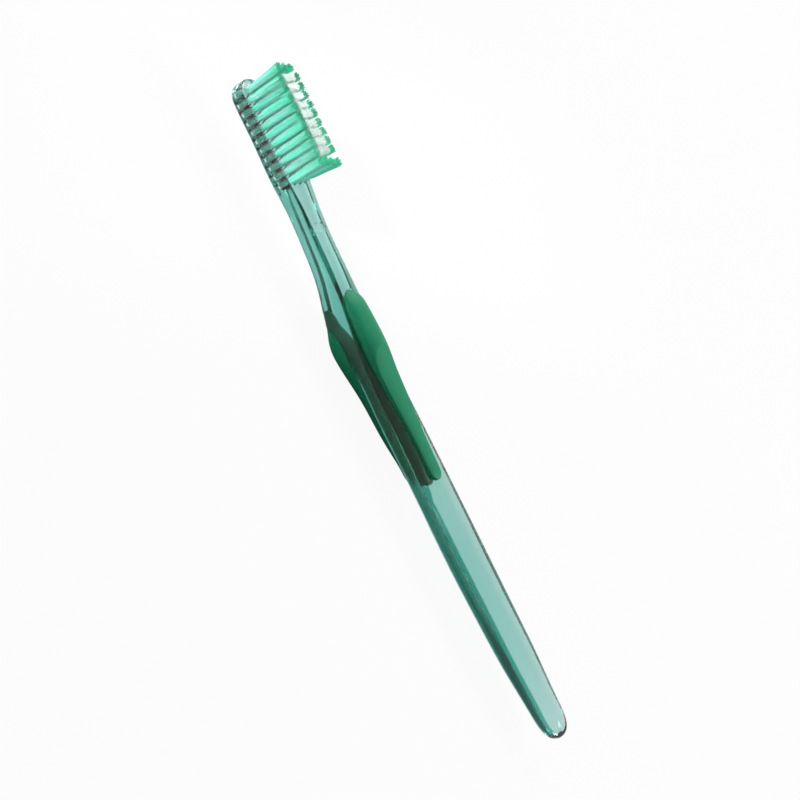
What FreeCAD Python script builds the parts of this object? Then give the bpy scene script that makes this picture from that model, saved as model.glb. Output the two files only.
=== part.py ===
"""Manual toothbrush: a clear lofted handle, two soft grips, and 43 tufts held by flat anchors.

Millimetres. X runs from the head (-X) to the tail (+X), Y across, Z up out of the bristles.
The brush lies on its back: z is 0 at the lowest point of the back grip, and x and y are 0 at the
middle of the length and the width. Places along the brush are measured from the head's tip.
"""
import FreeCAD, Part
import math
import os

import Sketcher

# Sizes that are set by themselves.
SIZES = {
    # Height of the head's plate over the flat front face.
    "plate_rise": 3.6,
    # The head and the tail start with this much extra stock in front, which plane cuts take off.
    "face_stock": 0.1,
    "face_run_in": 7.0,
    # Rounded ends in side view.
    "tip_front_round": 0.9,
    "tip_back_round": 1.2,
    "end_run": 9.0,
    "end_front_round": 1.0,
    # Tuft holes in the head.
    "hole_diameter": 1.8,
    "hole_depth": 3.5,
    "first_row": 3.5,
    "row_pitch": 2.58,
    "column_pitch": 2.43,
    # Tufts: free length in the last row, how much longer they are at the tip, width at the trimmed
    # end, and the end's rounding.
    "trim_height": 11.1,
    "toe_rise": 0.55,
    "trim_diameter": 2.0,
    "trim_round": 0.22,
    # Flat anchors, standing along the brush, that pin the folded tufts.
    "anchor_width": 2.3,
    "anchor_height": 2.0,
    "anchor_thickness": 0.3,
    "fold_thickness": 0.4,
    # Shallow oval mark across the front of the neck.
    "mark_width": 2.6,
    "mark_length": 5.2,
    "mark_depth": 0.2,
    # Pockets that hold the two grips, and the levels at which the grips' noses start.
    "front_grip_start": 60.6,
    "front_grip_start_base": 2.0,
    "front_grip_end_run": 2.8,
    "front_pocket_depth": 0.9,
    "back_grip_start": 63.0,
    "back_grip_start_crest": 5.75,
    "back_grip_end_run": 7.0,
    # Thumb scoop in the front grip.
    "scoop_start_rise": 4.3,
    "scoop_foot": 85.0,
    "scoop_foot_rise": 1.95,
    "scoop_end_rise": 1.05,
    "scoop_radius": 18.0,
    # How far cutting shapes reach past what they cut.
    "overrun": 5.0,
}

# Handle sections in order from the tip. Run is the distance from the section before, bevel and drop
# are the front bevel's width and fall, depth is the back below the face, and corner is the radius of
# the back corners. The head's front is the plate, the neck's and the grip zone's front has a rise of
# its own over the face, and the tail's front is the face.
SECTION_COLUMNS = ("run", "width", "drop", "bevel", "depth", "corner", "rise")
HEAD_SECTIONS = {
    "head_front": (5.6, 11.1, 0.15, 0.6, 0.54, 0.7),
    "head_mid": (10.4, 11.2, 0.15, 0.6, 0.68, 0.7),
    "head_rear": (11.0, 11.1, 0.2, 0.6, 1.18, 0.8),
}
NECK_SECTIONS = {
    "shoulder": (6.0, 9.5, 0.3, 0.6, 1.63, 1.0, 3.52),
    "nape": (6.0, 8.7, 0.45, 0.9, 2.02, 1.1, 3.15),
    "waist": (8.0, 8.7, 0.6, 1.15, 2.6, 1.1, 2.7),
    "flare": (10.0, 9.3, 0.6, 1.3, 4.0, 1.5, 2.35),
    "collar": (10.0, 10.5, 0.55, 1.5, 6.4, 2.0, 1.65),
    "thumb": (11.0, 12.2, 0.85, 2.4, 5.75, 3.6, 1.08),
    "palm": (17.0, 13.3, 0.95, 3.0, 5.55, 4.1, 0.82),
    "finger": (13.0, 13.7, 0.92, 3.0, 5.5, 4.2, 0.7),
}
TAIL_SECTIONS = {
    "wrist": (11.0, 14.2, 0.5, 1.9, 5.55, 4.4),
    "shaft": (16.0, 14.0, 0.5, 1.9, 5.83, 4.3),
    "taper": (17.0, 13.6, 0.5, 1.9, 5.5, 4.0),
    "tail": (14.0, 13.1, 0.52, 1.8, 4.78, 3.5),
    "tail_end": (12.0, 11.5, 0.51, 1.6, 3.85, 2.8),
}
HANDLE_SECTIONS = HEAD_SECTIONS | NECK_SECTIONS | TAIL_SECTIONS

# Front grip sections, as heights over the face: base is the clear surface round the grip, shoulder
# the top of its straight sides, and crest the top of its crown.
FRONT_COLUMNS = ("grip_run", "grip_width", "grip_base", "grip_shoulder", "grip_crest")
FRONT_SECTIONS = {
    "pad_rise": (5.4, 8.6, 1.6, 2.45, 4.0),
    "pad_top": (8.0, 9.1, 1.2, 2.6, 4.1),
    "pad_lip": (5.0, 9.1, 1.0, 2.3, 3.9),
    "pad_scoop": (4.0, 8.75, 0.95, 1.9, 3.3),
    "pad_slope": (10.0, 7.3, 0.85, 1.55, 2.75),
    "pad_tongue": (13.0, 5.4, 0.8, 1.2, 2.15),
    "pad_end": (5.7, 5.1, 0.65, 1.05, 1.95),
}

# Back grip sections, as depths below the face: base is the level of the seat and crest the outer side.
BACK_COLUMNS = ("grip_run", "grip_width", "grip_base", "grip_crest", "grip_corner")
BACK_SECTIONS = {
    "heel_start": (4.2, 9.2, 5.3, 6.6, 0.9),
    "heel_rise": (2.8, 10.7, 4.65, 8.15, 2.8),
    "heel_top": (4.2, 11.4, 3.75, 9.0, 3.4),
    "heel_slope": (5.4, 10.75, 3.85, 8.75, 3.3),
    "heel_waist": (8.4, 9.2, 4.25, 7.95, 2.7),
    "heel_narrow": (10.5, 7.3, 4.4, 7.8, 2.1),
    "heel_end": (9.0, 5.75, 4.4, 7.2, 1.6),
}

# Rounded ends, as shares: along the end from its extreme point, of the width there, and of the rounding.
TIP_SHARES = ((0.0, 0.2, 0.7), (0.14, 0.51, 0.2), (0.4, 0.8, 0.03), (0.7, 0.954, 0.0))
END_SHARES = ((0.0, 0.16, 0.75), (0.05, 0.4, 0.35), (0.18, 0.7, 0.08), (0.38, 0.88, 0.0), (0.65, 0.975, 0.0))
END_DEPTH_SHARES = (0.4, 0.55, 0.72, 0.84, 0.93)
PAD_START_SHARES = ((0.0, 0.2, 0.1), (0.14, 0.51, 0.3), (0.4, 0.8, 0.62), (0.7, 0.954, 0.86))
PAD_END_SHARES = ((0.0, 0.2, 0.45), (0.14, 0.51, 0.7), (0.4, 0.8, 0.9), (0.7, 0.954, 1.0))
HEEL_START_SHARES = ((0.0, 0.2, 0.3), (0.14, 0.51, 0.4), (0.4, 0.8, 0.6), (0.7, 0.954, 0.8))
HEEL_END_SHARES = ((0.0, 0.2, 0.4), (0.14, 0.51, 0.7), (0.4, 0.8, 0.9), (0.7, 0.954, 1.0))

# Tuft layout: the columns of a row, counted across from the middle in column pitches.
TIP_COLUMNS = (-1.0, 0.0, 1.0)
ROW_COLUMNS = (-1.5, -0.5, 0.5, 1.5)
FULL_ROWS = 10

doc = FreeCAD.newDocument("toothbrush")


def make_sheet():
    """Put every driving size in one sheet, each cell with its alias."""
    values = dict(SIZES)
    for name, row in HANDLE_SECTIONS.items():
        values.update({f"{name}_{column}": value for column, value in zip(SECTION_COLUMNS, row)})
    for columns, table in ((FRONT_COLUMNS, FRONT_SECTIONS), (BACK_COLUMNS, BACK_SECTIONS)):
        for name, row in table.items():
            values.update({f"{name}_{column}": value for column, value in zip(columns, row)})
    sheet = doc.addObject("Spreadsheet::Sheet", "Sizes")
    for cell, (alias, value) in enumerate(values.items(), start=1):
        sheet.set(f"A{cell}", alias)
        sheet.set(f"B{cell}", str(value))
        sheet.setAlias(f"B{cell}", alias)
    doc.recompute()
    return sheet


sheet = make_sheet()


def size(alias):
    """The expression that reads one cell of the sheet."""
    return f"Sizes.{alias}"


def number(expression):
    """The present value of an expression, for the first drawing of an outline."""
    return float(sheet.evalExpression(expression))


def running_places(table, column, start=None):
    """The place along the brush of each section, as an expression built up from the runs."""
    places = {}
    steps = [start] if start else []
    for name in table:
        steps.append(size(f"{name}_{column}"))
        places[name] = f"({' + '.join(steps)})"
    return places


HANDLE_PLACES = running_places(HANDLE_SECTIONS, "run")
FRONT_PLACES = running_places(FRONT_SECTIONS, "grip_run", size("front_grip_start"))
BACK_PLACES = running_places(BACK_SECTIONS, "grip_run", size("back_grip_start"))
TIP_RUN = size("head_front_run")
LENGTH = f"({HANDLE_PLACES['tail_end']} + {size('end_run')})"
HALF_LENGTH = f"({LENGTH} / 2)"

# Heights of the front over the lowest point, which is the crest of the back grip.
FACE = size("heel_top_grip_crest")
PLATE = f"({FACE} + {size('plate_rise')})"
FRONT_LEVELS = dict.fromkeys(HEAD_SECTIONS, PLATE) | dict.fromkeys(TAIL_SECTIONS, FACE)
FRONT_LEVELS.update({name: f"({FACE} + {size(f'{name}_rise')})" for name in NECK_SECTIONS})


def along(place):
    """A place measured from the tip, as an x in the part's frame."""
    return f"{place} - {HALF_LENGTH}"


def origin_plane(body, role):
    """One of a body's own origin planes or axes."""
    return next(feature for feature in body.Origin.OriginFeatures if feature.Role == role)


def new_sketch(body, name, role, level=None):
    """A sketch on one of the body's planes. Flat and side views start at the head's tip."""
    sketch = body.newObject("Sketcher::SketchObject", name)
    sketch.AttachmentSupport = [(origin_plane(body, role), "")]
    sketch.MapMode = "FlatFace"
    if role != "YZ_Plane":
        sketch.setExpression("AttachmentOffset.Base.x", f"-{HALF_LENGTH}")
    if level is not None:
        sketch.setExpression("AttachmentOffset.Base.z", level)
    return sketch


def hold(sketch, kind, expression, *where):
    """Add one dimension to a sketch and bind it to an expression."""
    index = sketch.addConstraint(Sketcher.Constraint(kind, *where, number(expression)))
    sketch.setExpression(f"Constraints[{index}]", expression)


def hold_point(sketch, geometry, end, across, up):
    """Hold one end of a line by its two coordinates."""
    hold(sketch, "DistanceX", across, -1, 1, geometry, end)
    hold(sketch, "DistanceY", up, -1, 1, geometry, end)


def line(sketch, start, end):
    """Draw a straight line between two (across, up) places."""
    return sketch.addGeometry(Part.LineSegment(FreeCAD.Vector(*start, 0), FreeCAD.Vector(*end, 0)), False)


def turn(sketch, centre, radius, first_quarter, quarters=1):
    """Draw a quarter circle or more, counted anticlockwise from the right."""
    right_angle = math.pi / 2
    circle = Part.Circle(FreeCAD.Vector(*centre, 0), FreeCAD.Vector(0, 0, 1), radius)
    arc = Part.ArcOfCircle(circle, first_quarter * right_angle, (first_quarter + quarters) * right_angle)
    return sketch.addGeometry(arc, False)


def arch(sketch, *points):
    """Draw an arc through three (across, up) places."""
    return sketch.addGeometry(Part.Arc(*(FreeCAD.Vector(*point, 0) for point in points)), False)


def join(sketch, kind, first, first_end, second, second_end):
    """Join two ends, as a plain corner or smoothly."""
    sketch.addConstraint(Sketcher.Constraint(kind, first, first_end, second, second_end))


def mirror_points(sketch, first, first_end, second, second_end):
    """Keep two points opposite each other across the brush."""
    sketch.addConstraint(Sketcher.Constraint("Symmetric", first, first_end, second, second_end, -2))


def handle_section(body, name, place, half, front, edge, flat, back, corner):
    """Cross-section of the handle: a flat front, two bevels, straight sides and a rounded back."""
    sketch = new_sketch(body, name, "YZ_Plane", along(place))
    w, zf, ze, f, zb, r = (number(value) for value in (half, front, edge, flat, back, corner))
    face = line(sketch, (-f, zf), (f, zf))
    right_bevel = line(sketch, (f, zf), (w, ze))
    right = line(sketch, (w, ze), (w, zb + r))
    right_corner = turn(sketch, (w - r, zb + r), r, 3)
    bottom = line(sketch, (w - r, zb), (r - w, zb))
    left_corner = turn(sketch, (r - w, zb + r), r, 2)
    left = line(sketch, (-w, zb + r), (-w, ze))
    left_bevel = line(sketch, (-w, ze), (-f, zf))
    join(sketch, "Coincident", face, 2, right_bevel, 1)
    join(sketch, "Coincident", right_bevel, 2, right, 1)
    join(sketch, "Tangent", right, 2, right_corner, 2)
    join(sketch, "Tangent", right_corner, 1, bottom, 1)
    join(sketch, "Tangent", bottom, 2, left_corner, 2)
    join(sketch, "Tangent", left_corner, 1, left, 1)
    join(sketch, "Coincident", left, 2, left_bevel, 1)
    join(sketch, "Coincident", left_bevel, 2, face, 1)
    sketch.addConstraint(Sketcher.Constraint("Vertical", right))
    sketch.addConstraint(Sketcher.Constraint("Vertical", left))
    sketch.addConstraint(Sketcher.Constraint("Horizontal", bottom))
    sketch.addConstraint(Sketcher.Constraint("Equal", right_corner, left_corner))
    mirror_points(sketch, face, 1, face, 2)
    mirror_points(sketch, right, 1, left, 2)
    hold_point(sketch, face, 2, flat, front)
    hold_point(sketch, right, 1, half, edge)
    hold(sketch, "DistanceY", back, -1, 1, bottom, 1)
    hold(sketch, "Radius", corner, right_corner)
    return sketch


def front_grip_section(body, name, place, half, base, shoulder, crest):
    """Cross-section of the front grip: flat seat, straight sides and an arched crown."""
    sketch = new_sketch(body, name, "YZ_Plane", along(place))
    w, zs, zh, zc = (number(value) for value in (half, base, shoulder, crest))
    seat = line(sketch, (-w, zs), (w, zs))
    right = line(sketch, (w, zs), (w, zh))
    crown = arch(sketch, (w, zh), (0, zc), (-w, zh))
    left = line(sketch, (-w, zh), (-w, zs))
    join(sketch, "Coincident", seat, 2, right, 1)
    join(sketch, "Coincident", right, 2, crown, 1)
    join(sketch, "Coincident", crown, 2, left, 1)
    join(sketch, "Coincident", left, 2, seat, 1)
    sketch.addConstraint(Sketcher.Constraint("Vertical", right))
    sketch.addConstraint(Sketcher.Constraint("Vertical", left))
    sketch.addConstraint(Sketcher.Constraint("PointOnObject", crown, 3, -2))
    mirror_points(sketch, seat, 1, seat, 2)
    hold_point(sketch, seat, 2, half, base)
    hold(sketch, "DistanceY", shoulder, -1, 1, right, 2)
    rise = f"({crest} - ({shoulder}))"
    hold(sketch, "Radius", f"(({half}) ^ 2 + {rise} ^ 2) / (2 * {rise})", crown)
    return sketch


def back_grip_section(body, name, place, half, base, crest, corner):
    """Cross-section of the back grip: flat seat, straight sides and a rounded outer side."""
    sketch = new_sketch(body, name, "YZ_Plane", along(place))
    w, zs, zc, r = (number(value) for value in (half, base, crest, corner))
    seat = line(sketch, (-w, zs), (w, zs))
    right = line(sketch, (w, zs), (w, zc + r))
    right_corner = turn(sketch, (w - r, zc + r), r, 3)
    outer = line(sketch, (w - r, zc), (r - w, zc))
    left_corner = turn(sketch, (r - w, zc + r), r, 2)
    left = line(sketch, (-w, zc + r), (-w, zs))
    join(sketch, "Coincident", seat, 2, right, 1)
    join(sketch, "Tangent", right, 2, right_corner, 2)
    join(sketch, "Tangent", right_corner, 1, outer, 1)
    join(sketch, "Tangent", outer, 2, left_corner, 2)
    join(sketch, "Tangent", left_corner, 1, left, 1)
    join(sketch, "Coincident", left, 2, seat, 1)
    sketch.addConstraint(Sketcher.Constraint("Vertical", right))
    sketch.addConstraint(Sketcher.Constraint("Vertical", left))
    sketch.addConstraint(Sketcher.Constraint("Horizontal", outer))
    sketch.addConstraint(Sketcher.Constraint("Equal", right_corner, left_corner))
    mirror_points(sketch, seat, 1, seat, 2)
    hold_point(sketch, seat, 2, half, base)
    hold(sketch, "DistanceY", crest, -1, 1, outer, 1)
    hold(sketch, "Radius", corner, right_corner)
    return sketch


def loft(body, name, sections):
    """One smooth solid through all the sections."""
    feature = body.newObject("PartDesign::AdditiveLoft", name)
    feature.Profile = sections[0]
    feature.Sections = sections[1:]
    return feature


def pocket(body, name, sketch, length=None, upward=False):
    """Cut a sketch's outline away, to a length, or right through both ways."""
    feature = body.newObject("PartDesign::Pocket", name)
    feature.Profile = sketch
    if length is None:
        feature.SideType = "Symmetric"
        feature.Type = "ThroughAll"
    else:
        feature.setExpression("Length", length)
        feature.Reversed = upward
    sketch.Visibility = False
    return feature


def make_handle_blank():
    """The clear moulding before the grips and anchors are set into it."""
    body = doc.addObject("PartDesign::Body", "handle_blank")
    sections = []
    for number_along, (run, width, rounding) in enumerate(TIP_SHARES):
        front = f"{PLATE} + {size('face_stock')} - {size('tip_front_round')} * {rounding}"
        half = f"{size('head_front_width')} / 2 * {width}"
        sections.append(handle_section(
            body, f"tip_{number_along}", f"{TIP_RUN} * {run}", half, front,
            f"{front} - {size('head_front_drop')}", f"{half} - {size('head_front_bevel')} * {width}",
            f"{FACE} - {size('head_front_depth')} + {size('tip_back_round')} * {rounding}",
            f"{size('head_front_corner')} * {width}"))
    for name in HANDLE_SECTIONS:
        front = FRONT_LEVELS[name]
        if name not in NECK_SECTIONS:
            front = f"{front} + {size('face_stock')}"
        half = f"{size(f'{name}_width')} / 2"
        sections.append(handle_section(
            body, name, HANDLE_PLACES[name], half, front, f"{front} - {size(f'{name}_drop')}",
            f"{half} - {size(f'{name}_bevel')}", f"{FACE} - {size(f'{name}_depth')}",
            size(f"{name}_corner")))
    ends = list(zip(END_SHARES, END_DEPTH_SHARES))
    for number_along, ((run, width, rounding), depth) in enumerate(reversed(ends)):
        front = f"{FACE} + {size('face_stock')} - {size('end_front_round')} * {rounding}"
        half = f"{size('tail_end_width')} / 2 * {width}"
        sections.append(handle_section(
            body, f"end_{number_along}", f"({LENGTH} - {size('end_run')} * {run})", half, front,
            f"{front} - {size('tail_end_drop')} * {width}", f"{half} - {size('tail_end_bevel')} * {width}",
            f"{FACE} - {size('tail_end_depth')} * {depth}", f"{size('tail_end_corner')} * {width}"))
    loft(body, "handle_loft", sections)
    cut_front_planes(body)
    cut_holes(body)
    cut_mark(body)
    return body


def polygon(sketch, points):
    """A closed outline of straight lines through places that are each held by two expressions."""
    places = [(number(across), number(up)) for across, up in points]
    lines = [line(sketch, start, end) for start, end in zip(places, places[1:] + places[:1])]
    for index, following in zip(lines, lines[1:] + lines[:1]):
        join(sketch, "Coincident", index, 2, following, 1)
    for index, (across, up) in zip(lines, points):
        hold_point(sketch, index, 1, across, up)


def cut_front_planes(body):
    """Plane the head's plate and the long front face flat."""
    over = size("overrun")
    plate = new_sketch(body, "plate_plane", "XZ_Plane")
    plate_start, plate_end = f"{TIP_RUN} * {TIP_SHARES[1][0]}", HANDLE_PLACES["nape"]
    plate_top = f"{PLATE} + {over}"
    polygon(plate, (
        (plate_start, PLATE), (plate_end, PLATE), (plate_end, plate_top), (plate_start, plate_top)))
    pocket(body, "plate_cut", plate)
    face = new_sketch(body, "face_plane", "XZ_Plane")
    wrist = HANDLE_PLACES["wrist"]
    run_in = f"({wrist} - {size('face_run_in')})"
    past_end = f"({LENGTH} + {over})"
    top = f"{FRONT_LEVELS['finger']} + {over}"
    polygon(face, (
        (run_in, FRONT_LEVELS["finger"]), (wrist, FACE), (past_end, FACE), (past_end, top), (run_in, top)))
    pocket(body, "face_cut", face)


def hole_row(body, name, place, columns):
    """One row of blind tuft holes across the head."""
    over = size("overrun")
    sketch = new_sketch(body, f"{name}_places", "XY_Plane", f"{PLATE} + {over}")
    radius = f"{size('hole_diameter')} / 2"
    for column in columns:
        centre = FreeCAD.Vector(number(place), column * number(size("column_pitch")), 0)
        circle = sketch.addGeometry(Part.Circle(centre, FreeCAD.Vector(0, 0, 1), number(radius)), False)
        hold(sketch, "DistanceX", place, -1, 1, circle, 3)
        if column > 0:
            hold(sketch, "DistanceY", f"{size('column_pitch')} * {column}", -1, 1, circle, 3)
        elif column < 0:
            hold(sketch, "DistanceY", f"{size('column_pitch')} * {-column}", circle, 3, -1, 1)
        else:
            sketch.addConstraint(Sketcher.Constraint("PointOnObject", circle, 3, -1))
        hold(sketch, "Radius", radius, circle)
    return pocket(body, name, sketch, f"{over} + {size('hole_depth')}")


def row_place(row):
    """Distance of a row of tufts from the tip. Row 0 is at the tip."""
    return f"({size('first_row')} + {size('row_pitch')} * {row})"


def cut_holes(body):
    """The tip's three holes, and the full rows behind them as a pattern."""
    hole_row(body, "tip_holes", row_place(0), TIP_COLUMNS)
    row = hole_row(body, "row_holes", row_place(1), ROW_COLUMNS)
    pattern = body.newObject("PartDesign::LinearPattern", "all_rows")
    pattern.Originals = [row]
    pattern.Direction = (origin_plane(body, "X_Axis"), [""])
    pattern.Mode = "Spacing"
    pattern.setExpression("Offset", size("row_pitch"))
    pattern.Occurrences = FULL_ROWS
    body.Tip = pattern


def cut_mark(body):
    """The shallow oval mark across the front of the neck, halfway between two sections."""
    level = f"({FRONT_LEVELS['nape']} + {FRONT_LEVELS['waist']}) / 2 - {size('mark_depth')}"
    sketch = new_sketch(body, "mark_place", "XY_Plane", level)
    place = f"({HANDLE_PLACES['nape']} + {HANDLE_PLACES['waist']}) / 2"
    radius = f"{size('mark_width')} / 2"
    reach = f"({size('mark_length')} - {size('mark_width')}) / 2"
    x, y, r = (number(value) for value in (place, reach, radius))
    far_end = turn(sketch, (x, y), r, 0, quarters=2)
    front_side = line(sketch, (x - r, y), (x - r, -y))
    near_end = turn(sketch, (x, -y), r, 2, quarters=2)
    back_side = line(sketch, (x + r, -y), (x + r, y))
    join(sketch, "Tangent", far_end, 2, front_side, 1)
    join(sketch, "Tangent", front_side, 2, near_end, 1)
    join(sketch, "Tangent", near_end, 2, back_side, 1)
    join(sketch, "Tangent", back_side, 2, far_end, 1)
    sketch.addConstraint(Sketcher.Constraint("Symmetric", far_end, 3, near_end, 3, -1))
    hold_point(sketch, far_end, 3, place, reach)
    hold(sketch, "Radius", radius, far_end)
    pocket(body, "mark", sketch, size("overrun"), upward=True)


def make_front_grip():
    """The thumb pad: a crowned pad, teardrop in plan, with a scoop for the thumb."""
    body = doc.addObject("PartDesign::Body", "front_grip")
    sections = []
    depth = size("front_pocket_depth")
    start, start_base = size("front_grip_start"), size("front_grip_start_base")
    first, last = "pad_rise", "pad_end"
    widths = {name: f"{size(f'{name}_grip_width')} / 2" for name in FRONT_SECTIONS}
    bases = {name: size(f"{name}_grip_base") for name in FRONT_SECTIONS}
    shoulders = {name: f"({size(f'{name}_grip_shoulder')} - {bases[name]})" for name in FRONT_SECTIONS}
    crests = {name: f"({size(f'{name}_grip_crest')} - {bases[name]})" for name in FRONT_SECTIONS}
    for order, (run, width, rise) in enumerate(PAD_START_SHARES):
        base = f"{FACE} + {start_base} + ({bases[first]} - {start_base}) * {run}"
        sections.append(front_grip_section(
            body, f"pad_start_{order}", f"({start} + {size(f'{first}_grip_run')} * {run})",
            f"{widths[first]} * {width}", f"{base} - {depth}", f"{base} + {shoulders[first]} * {rise}",
            f"{base} + {crests[first]} * {rise}"))
    for name in FRONT_SECTIONS:
        base = f"{FACE} + {bases[name]}"
        sections.append(front_grip_section(
            body, name, FRONT_PLACES[name], widths[name], f"{base} - {depth}", f"{base} + {shoulders[name]}",
            f"{base} + {crests[name]}"))
    base = f"{FACE} + {bases[last]}"
    for order, (run, width, rise) in enumerate(reversed(PAD_END_SHARES)):
        sections.append(front_grip_section(
            body, f"pad_close_{order}", f"({FRONT_PLACES[last]} + {size('front_grip_end_run')} * {1 - run})",
            f"{widths[last]} * {width}", f"{base} - {depth}", f"{base} + {shoulders[last]} * {rise}",
            f"{base} + {crests[last]} * {rise}"))
    loft(body, "pad_loft", sections)
    cut_scoop(body)
    return body


def cut_scoop(body):
    """The thumb scoop: an arc down from the pad's crest, and a long flat slope after it."""
    sketch = new_sketch(body, "scoop_outline", "XZ_Plane")
    foot, foot_rise = size("scoop_foot"), f"{FACE} + {size('scoop_foot_rise')}"
    end = f"({FRONT_PLACES['pad_end']} + {size('front_grip_end_run')} + {size('overrun')})"
    end_rise = f"{FACE} + {size('scoop_end_rise')}"
    start_rise = f"{FACE} + {size('scoop_start_rise')}"
    top = f"{start_rise} + {size('overrun')}"
    radius = number(size("scoop_radius"))
    low = (number(foot), number(foot_rise))
    far = (number(end), number(end_rise))
    fall = number(start_rise) - low[1]
    start_place = low[0] - (fall * (2 * radius - fall)) ** 0.5
    mid_place = (start_place + low[0]) / 2
    mid_rise = low[1] + radius - (radius ** 2 - (low[0] - mid_place) ** 2) ** 0.5
    arc = arch(sketch, (start_place, number(start_rise)), (mid_place, mid_rise), low)
    slope = line(sketch, low, far)
    right = line(sketch, far, (far[0], number(top)))
    roof = line(sketch, (far[0], number(top)), (start_place, number(top)))
    left = line(sketch, (start_place, number(top)), (start_place, number(start_rise)))
    join(sketch, "Tangent", arc, 2, slope, 1)
    join(sketch, "Coincident", slope, 2, right, 1)
    join(sketch, "Coincident", right, 2, roof, 1)
    join(sketch, "Coincident", roof, 2, left, 1)
    join(sketch, "Coincident", left, 2, arc, 1)
    sketch.addConstraint(Sketcher.Constraint("Vertical", right))
    sketch.addConstraint(Sketcher.Constraint("Horizontal", roof))
    sketch.addConstraint(Sketcher.Constraint("Vertical", left))
    hold_point(sketch, slope, 1, foot, foot_rise)
    hold_point(sketch, slope, 2, end, end_rise)
    hold(sketch, "DistanceY", start_rise, -1, 1, left, 2)
    hold(sketch, "DistanceY", top, -1, 1, roof, 1)
    hold(sketch, "Radius", size("scoop_radius"), arc)
    pocket(body, "scoop", sketch)


def make_back_grip():
    """The back pad: a round nose on a ramped seat, a bulge behind the thumb, and a narrowing tail."""
    body = doc.addObject("PartDesign::Body", "back_grip")
    sections = []
    start, start_crest = size("back_grip_start"), size("back_grip_start_crest")
    first, last = "heel_start", "heel_end"
    widths = {name: f"{size(f'{name}_grip_width')} / 2" for name in BACK_SECTIONS}
    bases = {name: size(f"{name}_grip_base") for name in BACK_SECTIONS}
    crests = {name: size(f"{name}_grip_crest") for name in BACK_SECTIONS}
    corners = {name: size(f"{name}_grip_corner") for name in BACK_SECTIONS}
    for order, (run, width, corner) in enumerate(HEEL_START_SHARES):
        sections.append(back_grip_section(
            body, f"heel_open_{order}", f"({start} + {size(f'{first}_grip_run')} * {run})",
            f"{widths[first]} * {width}", f"{FACE} - {bases[first]}",
            f"{FACE} - {start_crest} - ({crests[first]} - {start_crest}) * {run}",
            f"{corners[first]} * {corner}"))
    for name in BACK_SECTIONS:
        sections.append(back_grip_section(
            body, name, BACK_PLACES[name], widths[name], f"{FACE} - {bases[name]}",
            f"{FACE} - {crests[name]}", corners[name]))
    for order, (run, width, rise) in enumerate(reversed(HEEL_END_SHARES)):
        sections.append(back_grip_section(
            body, f"heel_close_{order}", f"({BACK_PLACES[last]} + {size('back_grip_end_run')} * {1 - run})",
            f"{widths[last]} * {width}", f"{FACE} - {bases[last]}",
            f"{FACE} - {bases[last]} - ({crests[last]} - {bases[last]}) * {rise}",
            f"{corners[last]} * {width} * {rise}"))
    loft(body, "heel_loft", sections)
    return body


def place_object(thing, x, y, z):
    """Bind an object's place in the part's frame."""
    thing.setExpression("Placement.Base.x", x)
    thing.setExpression("Placement.Base.y", y)
    thing.setExpression("Placement.Base.z", z)


def make_anchor(name, row, column):
    """One flat anchor, standing on edge in its hole with its ends in the hole's wall."""
    box = doc.addObject("Part::Box", f"anchor_{name}")
    box.setExpression("Length", size("anchor_width"))
    box.setExpression("Width", size("anchor_thickness"))
    box.setExpression("Height", size("anchor_height"))
    place_object(
        box, f"{along(row_place(row))} - {size('anchor_width')} / 2",
        f"{size('column_pitch')} * {column} - {size('anchor_thickness')} / 2",
        f"{PLATE} - {size('hole_depth')} + {size('fold_thickness')}")
    return box


def make_tuft(name, row, column, anchor):
    """One bundle of filaments, folded round its anchor, spreading a little to a rounded trimmed end."""
    x, y = along(row_place(row)), f"{size('column_pitch')} * {column}"
    hole, trim, rounding = size("hole_diameter"), size("trim_diameter"), size("trim_round")
    free = f"({size('trim_height')} + {size('toe_rise')} * {1 - row / FULL_ROWS})"
    root = doc.addObject("Part::Cylinder", f"root_{name}")
    root.setExpression("Radius", f"{hole} / 2")
    root.setExpression("Height", size("hole_depth"))
    place_object(root, x, y, f"{PLATE} - {size('hole_depth')}")
    stem = doc.addObject("Part::Cone", f"stem_{name}")
    stem.setExpression("Radius1", f"{hole} / 2")
    stem.setExpression("Radius2", f"{trim} / 2")
    stem.setExpression("Height", f"{free} - {rounding}")
    place_object(stem, x, y, PLATE)
    end = doc.addObject("Part::Cone", f"trim_{name}")
    end.setExpression("Radius1", f"{trim} / 2")
    end.setExpression("Radius2", f"{trim} / 2 - {rounding}")
    end.setExpression("Height", rounding)
    place_object(end, x, y, f"{PLATE} + {free} - {rounding}")
    bundle = doc.addObject("Part::MultiFuse", f"bundle_{name}")
    bundle.Shapes = [root, stem, end]
    tuft = doc.addObject("Part::Cut", f"tuft_{name}")
    tuft.Base = bundle
    tuft.Tool = anchor
    return tuft


def make_tufts():
    """All tufts and their anchors, row by row from the tip."""
    anchors, tufts = [], []
    for row in range(FULL_ROWS + 1):
        columns = TIP_COLUMNS if row == 0 else ROW_COLUMNS
        for order, column in enumerate(columns, start=1):
            name = f"r{row + 1:02d}_c{order}"
            anchors.append(make_anchor(name, row, column))
            tufts.append(make_tuft(name, row, column, anchors[-1]))
    return anchors, tufts


def make_handle(blank, inserts):
    """The finished moulding, with the seats of the grips and the anchors cut into it."""
    seats = doc.addObject("Part::Compound", "seats")
    seats.Links = inserts
    handle = doc.addObject("Part::Cut", "handle")
    handle.Base = blank
    handle.Tool = seats
    return handle


def check(objects):
    """Stop if any object failed, or if a sub-part's shape is not sound."""
    for thing in doc.Objects:
        if "Invalid" in thing.State or "Error" in thing.State:
            raise RuntimeError(f"{thing.Name} failed: {thing.State}")
    for thing in objects:
        if thing.Shape.isNull() or not thing.Shape.isValid():
            raise RuntimeError(f"{thing.Label} has no sound shape")


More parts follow.
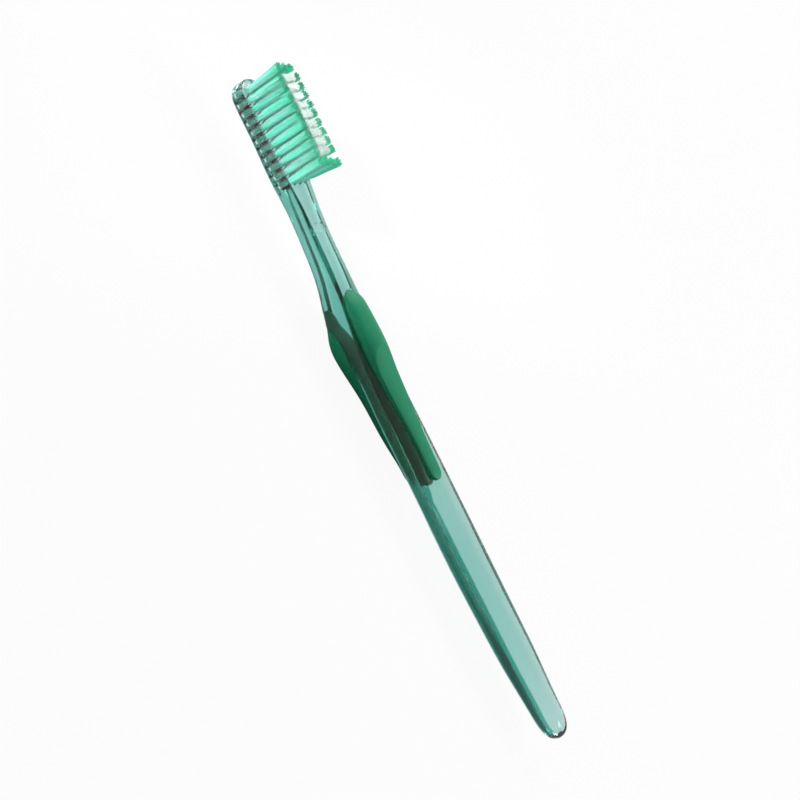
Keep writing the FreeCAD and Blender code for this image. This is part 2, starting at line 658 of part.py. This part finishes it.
handle_blank = make_handle_blank()
front_grip = make_front_grip()
back_grip = make_back_grip()
anchors, tufts = make_tufts()
tuft_anchors = doc.addObject("Part::Compound", "tuft_anchors")
tuft_anchors.Links = anchors
handle = make_handle(handle_blank, [front_grip, back_grip, tuft_anchors])
doc.recompute()

sub_parts = [handle, front_grip, back_grip, tuft_anchors] + tufts
for thing in sub_parts:
    thing.Label = thing.Name
check(sub_parts)
os.makedirs("parts", exist_ok=True)
for thing in sub_parts:
    thing.Shape.exportStep(f"parts/{thing.Label}.step")
print(len(sub_parts), "sub-parts,", sum(len(thing.Shape.Solids) for thing in sub_parts), "solids")
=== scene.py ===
"""Looks of the manual toothbrush: clear tinted handle, soft grips, and tufts of folded filaments.

Metres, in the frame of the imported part: X runs from the head to the tail, and Z the way the tufts point.
"""
import math
import random
from dataclasses import dataclass

import bmesh
import bpy
from mathutils import Matrix, Vector


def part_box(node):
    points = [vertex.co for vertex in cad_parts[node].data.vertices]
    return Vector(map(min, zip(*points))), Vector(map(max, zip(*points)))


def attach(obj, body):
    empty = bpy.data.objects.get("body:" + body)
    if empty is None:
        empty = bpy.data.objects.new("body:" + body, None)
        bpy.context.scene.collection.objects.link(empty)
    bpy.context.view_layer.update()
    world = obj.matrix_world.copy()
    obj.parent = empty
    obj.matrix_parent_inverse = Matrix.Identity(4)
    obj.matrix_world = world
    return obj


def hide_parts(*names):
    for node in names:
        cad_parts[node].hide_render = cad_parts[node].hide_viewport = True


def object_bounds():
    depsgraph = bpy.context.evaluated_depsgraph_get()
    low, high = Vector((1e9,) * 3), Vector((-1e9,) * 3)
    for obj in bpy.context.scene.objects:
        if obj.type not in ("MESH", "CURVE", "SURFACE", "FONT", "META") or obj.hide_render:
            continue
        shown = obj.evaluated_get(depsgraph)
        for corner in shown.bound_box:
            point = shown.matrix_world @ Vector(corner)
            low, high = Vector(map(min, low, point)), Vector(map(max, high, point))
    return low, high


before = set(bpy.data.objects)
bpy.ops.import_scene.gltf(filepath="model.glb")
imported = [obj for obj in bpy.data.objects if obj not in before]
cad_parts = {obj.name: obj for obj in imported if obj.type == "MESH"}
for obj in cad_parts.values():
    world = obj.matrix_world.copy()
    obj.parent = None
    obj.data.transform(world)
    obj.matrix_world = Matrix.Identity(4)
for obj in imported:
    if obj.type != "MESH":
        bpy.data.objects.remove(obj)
cad_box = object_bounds()
scene = bpy.context.scene

MM = 0.001

# Camera, fitted to the photograph's outline of the brush.
CAMERA_AZIMUTH = math.radians(3.71)
CAMERA_ELEVATION = math.radians(32.47)
CAMERA_ROLL = math.radians(61.39)
CAMERA_TARGET = Vector((-1.594, 0.0, 10.115)) * MM
CAMERA_DISTANCE = 569.87 * MM
CAMERA_LENS = 100.0
CAMERA_SENSOR = 36.0
CAMERA_CLIP = 10.0 * MM

# Clear plastic. All colours are scene-linear. Rounding is the reach of the softened shading at its edges.
WHITE = (1.0, 1.0, 1.0, 1.0)
PLASTIC_TINT = (0.98, 1.0, 0.99, 1.0)
PLASTIC_ABSORPTION = (0.03, 0.71, 0.625, 1.0)
PLASTIC_DENSITY = 180.0
PLASTIC_IOR = 1.55
PLASTIC_ROUNDING = 0.6 * MM

# The frosted oval mark on the neck: its middle, its half sizes, and the share of them that is fully frosted.
MARK_CENTRE = Vector((-50.5, 0.0, 12.0)) * MM
MARK_REACH = Vector((1.35, 2.7, 1.2)) * MM
MARK_FULL_SHARE = 0.85
MARK_ROUGHNESS = 0.55

# Soft grips. The clear plastic is moulded onto them with no air between, so the bond sinks them into it.
GRIP_COLOUR = (0.001, 0.168, 0.074, 1.0)
GRIP_PALE = (0.005, 0.205, 0.098, 1.0)
GRIP_GRAIN_DEPTH = 0.02 * MM
GRIP_BOND = 0.03 * MM
GRIP_WELD = 0.002 * MM
GRIP_SHARP_ANGLE = math.radians(38.0)

# Filaments and anchors.
GREEN_FILAMENT = (0.42, 0.97, 0.80, 1.0)
GREEN_STREAK = (0.10, 0.85, 0.56, 1.0)
GREEN_END = (0.004, 0.33, 0.18, 1.0)
WHITE_FILAMENT = (0.80, 0.92, 0.87, 1.0)
WHITE_STREAK = (0.72, 0.88, 0.81, 1.0)
WHITE_END = (0.70, 0.82, 0.78, 1.0)
FILAMENT_GLOW_DEPTH = 0.3 * MM
ANCHOR_COLOUR = (0.88, 0.76, 0.62, 1.0)
ANCHOR_DARK = (0.72, 0.60, 0.47, 1.0)

# Form of a tuft. Ends are spread evenly over its circle, and each filament has two of them.
ENDS_IN_TUFT = 60
GOLDEN_ANGLE = math.pi * (3.0 - math.sqrt(5.0))
FILAMENT_RADIUS = 0.09 * MM
FILAMENT_SIDES = 6
TRIM_RANGE = (-0.3 * MM, 0.15 * MM)
END_JITTER = 0.12 * MM
END_SPLAY_SHARE = 1.2
HOLE_SHARE = 0.88
UPPER_SHARE = 0.35
LOWER_SHARE = 0.75
BULGE_SHARE = 1.12
ANCHOR_HALF = 0.15 * MM
ANCHOR_TOP = 2.4 * MM
FOLD_LEVEL = 0.2 * MM
HEEL_LEVEL = 0.4 * MM

# Rings at a filament's end: how far in from the end, share of the full width, share of the end's colour.
END_RINGS = ((-FILAMENT_RADIUS / 2, 0.6, 1.0), (0.0, 1.0, 1.0), (0.6 * MM, 1.0, 0.3))

# Rows of tufts: which are white, and how far their ends lean along the brush.
WHITE_ROWS = range(2, 11)
WHITE_COLUMNS = (2, 3)
BODY_LEAN = -0.12 * MM
END_ROW_LEANS = {1: (-0.85 * MM, -0.5 * MM, -0.15 * MM), 11: (-0.1 * MM, 0.3 * MM, 0.7 * MM, 1.15 * MM)}

# The floor, and how white it is by itself for each kind of ray. A ray through plastic counts as glossy too.
FLOOR_COLOUR = (0.5, 0.5, 0.5, 1.0)
FLOOR_REACH = 3.0
FLOOR_GAP = 0.05 * MM
FLOOR_WHITE = {"Is Camera Ray": 0.94, "Is Glossy Ray": 0.1, "Is Transmission Ray": 0.3}

# The room's walls: height, as the sine of the elevation, and grey level. The front of the room is darker.
ROOM_LEVELS = ((0.0, 0.7), (0.2, 0.7), (0.34, 0.5), (0.5, 0.8), (0.72, 0.8), (0.8, 0.46), (1.0, 0.4))
ROOM_FRONT_STRENGTH = 0.3
ROOM_FRONT_EDGE = -0.25
ROOM_BACK_EDGE = 0.15


def make_camera():
    """The photograph's view: a long lens, looking down across the brush and rolled."""
    camera = bpy.data.objects.new("camera", bpy.data.cameras.new("camera"))
    scene.collection.objects.link(camera)
    camera.data.lens = CAMERA_LENS
    camera.data.sensor_width = CAMERA_SENSOR
    camera.data.clip_start = CAMERA_CLIP
    turn = (Matrix.Rotation(CAMERA_AZIMUTH, 4, "Z")
            @ Matrix.Rotation(math.pi / 2 - CAMERA_ELEVATION, 4, "X")
            @ Matrix.Rotation(CAMERA_ROLL, 4, "Z"))
    place = CAMERA_TARGET + turn.to_3x3() @ Vector((0, 0, CAMERA_DISTANCE))
    camera.matrix_world = Matrix.Translation(place) @ turn
    scene.camera = camera


def new_material(name):
    """A new material, with its node tree and its shader."""
    material = bpy.data.materials.new(name)
    material.use_nodes = True
    tree = material.node_tree
    return material, tree, tree.nodes["Principled BSDF"]


def fill(tree, node, inputs):
    """Set a node's inputs by name or number, each to a value or to the socket that is linked to it."""
    for key, value in inputs.items():
        if isinstance(value, bpy.types.NodeSocket):
            tree.links.new(value, node.inputs[key])
        else:
            node.inputs[key].default_value = value


def add_node(tree, kind, inputs=None, **settings):
    """A new node with its settings and inputs."""
    node = tree.nodes.new(kind)
    for key, value in settings.items():
        setattr(node, key, value)
    fill(tree, node, inputs or {})
    return node


def noise(tree, scale, detail, stretch=(1.0, 1.0, 1.0)):
    """Noise over the piece's own coordinates, in metres, stretched along the axes."""
    place = add_node(tree, "ShaderNodeTexCoord").outputs["Object"]
    mapping = add_node(tree, "ShaderNodeMapping", {"Vector": place, "Scale": stretch})
    texture = {"Vector": mapping.outputs["Vector"], "Scale": scale, "Detail": detail}
    return add_node(tree, "ShaderNodeTexNoise", texture).outputs["Fac"]


def value_range(tree, source, low, high):
    """Bring a 0 to 1 value into a range."""
    limits = {"Value": source, "To Min": low, "To Max": high}
    return add_node(tree, "ShaderNodeMapRange", limits).outputs["Result"]


def colour_mix(tree, share, first, second):
    """Blend two colours by a share. The mix node's colour sockets are found by their type."""
    node = add_node(tree, "ShaderNodeMix", {"Factor": share}, data_type="RGBA")
    places = [place for place, socket in enumerate(node.inputs) if socket.type == "RGBA"]
    fill(tree, node, dict(zip(places, (first, second))))
    return next(socket for socket in node.outputs if socket.type == "RGBA")


def mark_roughness(tree):
    """Roughness of the frosted mark on the neck, and 0 outside it."""
    place = add_node(tree, "ShaderNodeTexCoord").outputs["Object"]
    offset = add_node(tree, "ShaderNodeVectorMath", {0: place, 1: MARK_CENTRE}, operation="SUBTRACT")
    scaled = add_node(
        tree, "ShaderNodeVectorMath", {0: offset.outputs["Vector"], 1: MARK_REACH}, operation="DIVIDE")
    reach = add_node(tree, "ShaderNodeVectorMath", {0: scaled.outputs["Vector"]}, operation="LENGTH")
    inside = {"Value": reach.outputs["Value"], "From Min": 1.0, "From Max": MARK_FULL_SHARE,
              "To Max": MARK_ROUGHNESS}
    return add_node(tree, "ShaderNodeMapRange", inside).outputs["Result"]


def clear_plastic():
    """Polished clear moulding that takes its green from the depth of plastic that light goes through."""
    material, tree, shader = new_material("clear_plastic")
    haze = noise(tree, scale=900.0, detail=3.0, stretch=(0.2, 1.0, 1.0))
    polish = value_range(tree, haze, 0.0, 0.05)
    rough = add_node(tree, "ShaderNodeMath", {0: polish, 1: mark_roughness(tree)}, operation="MAXIMUM")
    cloud = noise(tree, scale=120.0, detail=2.0, stretch=(0.3, 1.0, 1.0))
    rounding = add_node(tree, "ShaderNodeBevel", {"Radius": PLASTIC_ROUNDING}, samples=6)
    fill(tree, shader, {
        "Base Color": colour_mix(tree, cloud, PLASTIC_TINT, WHITE),
        "Roughness": rough.outputs[0],
        "Normal": rounding.outputs["Normal"],
        "Transmission Weight": 1.0,
        "IOR": PLASTIC_IOR,
    })
    volume = add_node(
        tree, "ShaderNodeVolumeAbsorption", {"Color": PLASTIC_ABSORPTION, "Density": PLASTIC_DENSITY})
    fill(tree, tree.nodes["Material Output"], {"Volume": volume.outputs["Volume"]})
    return material


def soft_grip():
    """Satin soft plastic with a fine moulded grain."""
    material, tree, shader = new_material("soft_grip")
    cloud = value_range(tree, noise(tree, scale=220.0, detail=4.0), -0.2, 1.2)
    grain = noise(tree, scale=5200.0, detail=2.0)
    relief = add_node(
        tree, "ShaderNodeBump", {"Height": grain, "Strength": 0.2, "Distance": GRIP_GRAIN_DEPTH})
    fill(tree, shader, {
        "Base Color": colour_mix(tree, cloud, GRIP_COLOUR, GRIP_PALE),
        "Roughness": value_range(tree, grain, 0.42, 0.6),
        "Normal": relief.outputs["Normal"],
        "Specular IOR Level": 0.17,
    })
    return material


def filament(name, main, streak, end):
    """Dyed nylon filaments, each a little different, deeper in colour at the trimmed ends."""
    material, tree, shader = new_material(name)
    shade = add_node(tree, "ShaderNodeAttribute", attribute_name="shade").outputs["Fac"]
    trim = add_node(tree, "ShaderNodeAttribute", attribute_name="trim").outputs["Fac"]
    fine = noise(tree, scale=2500.0, detail=2.0, stretch=(1.0, 1.0, 0.1))
    body = colour_mix(tree, shade, main, streak)
    body = colour_mix(tree, value_range(tree, fine, 0.0, 0.4), body, streak)
    fill(tree, shader, {
        "Base Color": colour_mix(tree, trim, body, end),
        "Roughness": value_range(tree, fine, 0.3, 0.45),
        "Subsurface Weight": 1.0,
        "Subsurface Radius": (1.0, 1.0, 1.0),
        "Subsurface Scale": FILAMENT_GLOW_DEPTH,
    })
    return material


def anchor_metal():
    """Drawn and cut brass strip, dulled."""
    material, tree, shader = new_material("anchor_metal")
    lines = noise(tree, scale=3000.0, detail=2.0, stretch=(0.05, 1.0, 1.0))
    fill(tree, shader, {
        "Base Color": colour_mix(tree, lines, ANCHOR_COLOUR, ANCHOR_DARK),
        "Roughness": value_range(tree, lines, 0.25, 0.5),
        "Metallic": 0.5,
    })
    return material


def dress_node(name, material):
    """Give a CAD node its finish."""
    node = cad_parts[name]
    node.data.materials.clear()
    node.data.materials.append(material)


def new_piece(name, work, material, node):
    """Turn a finished bmesh into a smooth piece that rides on the body and stands for a CAD node."""
    mesh = bpy.data.meshes.new(name)
    work.to_mesh(mesh)
    work.free()
    mesh.shade_smooth()
    mesh.materials.append(material)
    piece = bpy.data.objects.new(name, mesh)
    scene.collection.objects.link(piece)
    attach(piece, "root")
    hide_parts(node)
    return piece


def make_grip(node, material):
    """A soft pad with the CAD pad's form, bonded into the clear plastic."""
    work = bmesh.new()
    work.from_mesh(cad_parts[node].data)
    bmesh.ops.remove_doubles(work, verts=work.verts, dist=GRIP_WELD)
    work.normal_update()
    for vertex in work.verts:
        vertex.co += vertex.normal * GRIP_BOND
    piece = new_piece(f"{node}_pad", work, material, node)
    piece.data.set_sharp_from_angle(angle=GRIP_SHARP_ANGLE)


@dataclass
class Tuft:
    """Where a tuft stands: its axis, the levels of hole floor, head plate and trim, radii and lean."""
    axis: Vector
    floor: float
    plate: float
    top: float
    trim_radius: float
    hole_radius: float
    lean: float


def fold_path(tuft, across, along, draw):
    """Centreline of one filament, from one trimmed end, down round the anchor and up to the other end.

    Across and along place the filament in the unit circle of the tuft. The ends lean with the tuft.
    """
    spread = tuft.trim_radius * END_SPLAY_SHARE
    along_hole, across_hole = along * tuft.hole_radius, across * tuft.hole_radius
    pinch = max(across_hole, ANCHOR_HALF + FILAMENT_RADIUS)
    legs = []
    for side in (1, -1):
        trim = tuft.top + draw.uniform(*TRIM_RANGE)
        end = Vector((along * spread + tuft.lean, side * across * spread, trim))
        end.x += draw.gauss(0, END_JITTER)
        end.y += draw.gauss(0, END_JITTER)
        mouth = Vector((along_hole, side * across_hole, tuft.plate))
        waist = Vector((along_hole, side * pinch, tuft.floor + ANCHOR_TOP))
        heel = Vector((along_hole, side * pinch, tuft.floor + HEEL_LEVEL))
        upper, lower = end.lerp(mouth, UPPER_SHARE), end.lerp(mouth, LOWER_SHARE)
        lower.xy *= BULGE_SHARE
        legs.append([end, upper, lower, mouth, waist, heel])
    fold = Vector((along_hole, 0, tuft.floor + FOLD_LEVEL))
    return [tuft.axis + point for point in legs[0] + [fold] + legs[1][::-1]]


def filament_rings(path):
    """Rings along a filament: middle, direction, share of the full width and share of the end's colour."""
    last = len(path) - 1
    ways = [(path[min(i + 1, last)] - path[max(i - 1, 0)]).normalized() for i in range(len(path))]
    start = [(path[0] + ways[0] * inward, ways[0], *shares) for inward, *shares in END_RINGS]
    middle = [(point, way, 1.0, 0.0) for point, way in zip(path[1:-1], ways[1:-1])]
    finish = [(path[-1] - ways[-1] * inward, ways[-1], *shares) for inward, *shares in END_RINGS]
    return start + middle + finish[::-1]


def add_filament(work, path, shade):
    """A round filament along a path, with domed ends."""
    shade_layer, trim_layer = work.verts.layers.float["shade"], work.verts.layers.float["trim"]
    rings = []
    for middle, way, width, trim in filament_rings(path):
        second = way.cross(Vector((1, 0, 0))).normalized()
        first = second.cross(way).normalized()
        ring = []
        for step in range(FILAMENT_SIDES):
            angle = 2 * math.pi * step / FILAMENT_SIDES
            outward = first * math.cos(angle) + second * math.sin(angle)
            vertex = work.verts.new(middle + outward * FILAMENT_RADIUS * width)
            vertex[shade_layer] = shade
            vertex[trim_layer] = trim
            ring.append(vertex)
        rings.append(ring)
    for low, high in zip(rings, rings[1:]):
        for step in range(FILAMENT_SIDES):
            following = (step + 1) % FILAMENT_SIDES
            work.faces.new((low[step], low[following], high[following], high[step]))
    work.faces.new(rings[0][::-1])
    work.faces.new(rings[-1])


def make_tuft(node, material, plate, lean):
    """One tuft: filaments folded in half round the anchor, standing out of the hole."""
    low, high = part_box(node)
    trim_radius = (high.x - low.x) / 2 - FILAMENT_RADIUS
    axis = Vector(((low.x + high.x) / 2, (low.y + high.y) / 2, 0))
    tuft = Tuft(axis, low.z, plate, high.z, trim_radius, trim_radius * HOLE_SHARE, lean)
    draw = random.Random(node)
    work = bmesh.new()
    for layer in ("shade", "trim"):
        work.verts.layers.float.new(layer)
    for order in range(ENDS_IN_TUFT):
        reach = math.sqrt((order + 0.5) / ENDS_IN_TUFT)
        angle = order * GOLDEN_ANGLE
        across, along = reach * math.sin(angle), reach * math.cos(angle)
        # A place on one side of the anchor and its mirror are the two ends of one filament.
        if across > 0:
            path = fold_path(tuft, across, along, draw)
            add_filament(work, path, draw.random())
    bmesh.ops.recalc_face_normals(work, faces=work.faces)
    new_piece(f"{node}_filaments", work, material, node)


def make_tufts():
    """Every tuft, in its own colour."""
    materials = {
        "green_filament": filament("green_filament", GREEN_FILAMENT, GREEN_STREAK, GREEN_END),
        "white_filament": filament("white_filament", WHITE_FILAMENT, WHITE_STREAK, WHITE_END),
    }
    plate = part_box("handle")[1].z
    for node in sorted(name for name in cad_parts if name.startswith("tuft_r")):
        row, column = (int(word[1:]) for word in node.split("_")[1:])
        is_white = row in WHITE_ROWS and column in WHITE_COLUMNS
        slot = "white_filament" if is_white else "green_filament"
        lean = END_ROW_LEANS[row][column - 1] if row in END_ROW_LEANS else BODY_LEAN
        make_tuft(node, materials[slot], plate, lean)


def white_share(tree):
    """How much of the floor is plain white: most for the camera, some in reflections and through plastic."""
    path = add_node(tree, "ShaderNodeLightPath")
    share = 0.0
    for ray, weight in FLOOR_WHITE.items():
        terms = {0: path.outputs[ray], 1: weight, 2: share}
        share = add_node(tree, "ShaderNodeMath", terms, operation="MULTIPLY_ADD").outputs[0]
    return share


def make_floor():
    """A plain pale table that shows as white and keeps a faint shadow."""
    corners = [(x * FLOOR_REACH, y * FLOOR_REACH, 0) for x, y in ((-1, -1), (1, -1), (1, 1), (-1, 1))]
    mesh = bpy.data.meshes.new("floor")
    mesh.from_pydata(corners, [], [(0, 1, 2, 3)])
    floor = bpy.data.objects.new("floor", mesh)
    scene.collection.objects.link(floor)
    floor.location.z = cad_box[0].z - FLOOR_GAP
    material, tree, shader = new_material("floor")
    fill(tree, shader, {"Base Color": FLOOR_COLOUR, "Roughness": 0.9})
    glow = add_node(tree, "ShaderNodeEmission", {"Strength": 1.0})
    mix = add_node(
        tree, "ShaderNodeMixShader",
        {0: white_share(tree), 1: shader.outputs["BSDF"], 2: glow.outputs["Emission"]})
    fill(tree, tree.nodes["Material Output"], {"Surface": mix.outputs["Shader"]})
    mesh.materials.append(material)


def make_world():
    """A pale studio room, with a darker front, that is white where the camera looks."""
    world = bpy.data.worlds.new("studio")
    scene.world = world
    world.use_nodes = True
    tree = world.node_tree
    is_camera = add_node(tree, "ShaderNodeLightPath").outputs["Is Camera Ray"]
    place = add_node(tree, "ShaderNodeTexCoord").outputs["Generated"]
    way = add_node(tree, "ShaderNodeSeparateXYZ", {"Vector": place})
    walls = add_node(tree, "ShaderNodeValToRGB", {"Fac": way.outputs["Z"]})
    ramp = walls.color_ramp.elements
    for level, _ in ROOM_LEVELS[1:-1]:
        ramp.new(level)
    for element, (level, grey) in zip(ramp, ROOM_LEVELS):
        element.position = level
        element.color = (grey, grey, grey, 1.0)
    depth = {"Value": way.outputs["Y"], "From Min": ROOM_FRONT_EDGE, "From Max": ROOM_BACK_EDGE,
             "To Min": ROOM_FRONT_STRENGTH}
    room = add_node(tree, "ShaderNodeMapRange", depth).outputs["Result"]
    strength = add_node(tree, "ShaderNodeMath", {0: room, 1: is_camera}, operation="MAXIMUM")
    fill(tree, tree.nodes["Background"], {
        "Color": colour_mix(tree, is_camera, walls.outputs["Color"], WHITE),
        "Strength": strength.outputs[0],
    })


def add_lamp(name, place, aim, size, power, spread=math.pi):
    """A square soft box, whose beam can be narrowed by its spread."""
    lamp = bpy.data.objects.new(name, bpy.data.lights.new(name, "AREA"))
    scene.collection.objects.link(lamp)
    lamp.data.shape = "SQUARE"
    lamp.data.size = size
    lamp.data.energy = power
    lamp.data.spread = spread
    lamp.location = place
    lamp.rotation_euler = (Vector(aim) - Vector(place)).to_track_quat("-Z", "Y").to_euler()


def make_lights():
    """Two soft boxes behind the ends of the brush, a low one in front, and a narrow one for the bristles."""
    add_lamp("head_side", place=(-0.45, 0.46, 0.50), aim=(0.0, 0.0, 0.01), size=0.35, power=4.0)
    add_lamp("tail_side", place=(0.45, 0.46, 0.50), aim=(0.0, 0.0, 0.01), size=0.35, power=4.4)
    add_lamp("front_low", place=(0.04, -0.60, 0.07), aim=(0.02, 0.0, 0.008), size=0.12, power=0.4)
    add_lamp("bristles", place=(-0.22, -0.42, 0.22), aim=(-0.084, 0.0, 0.018), size=0.10, power=0.047,
             spread=math.radians(7.0))


scene.view_settings.view_transform = "Standard"
for leftover in [thing for thing in scene.objects if thing.type in ("LIGHT", "CAMERA")]:
    bpy.data.objects.remove(leftover)
make_camera()
make_world()
make_lights()
make_floor()
dress_node("handle", clear_plastic())
dress_node("tuft_anchors", anchor_metal())
grip_material = soft_grip()
make_grip("front_grip", grip_material)
make_grip("back_grip", grip_material)
make_tufts()
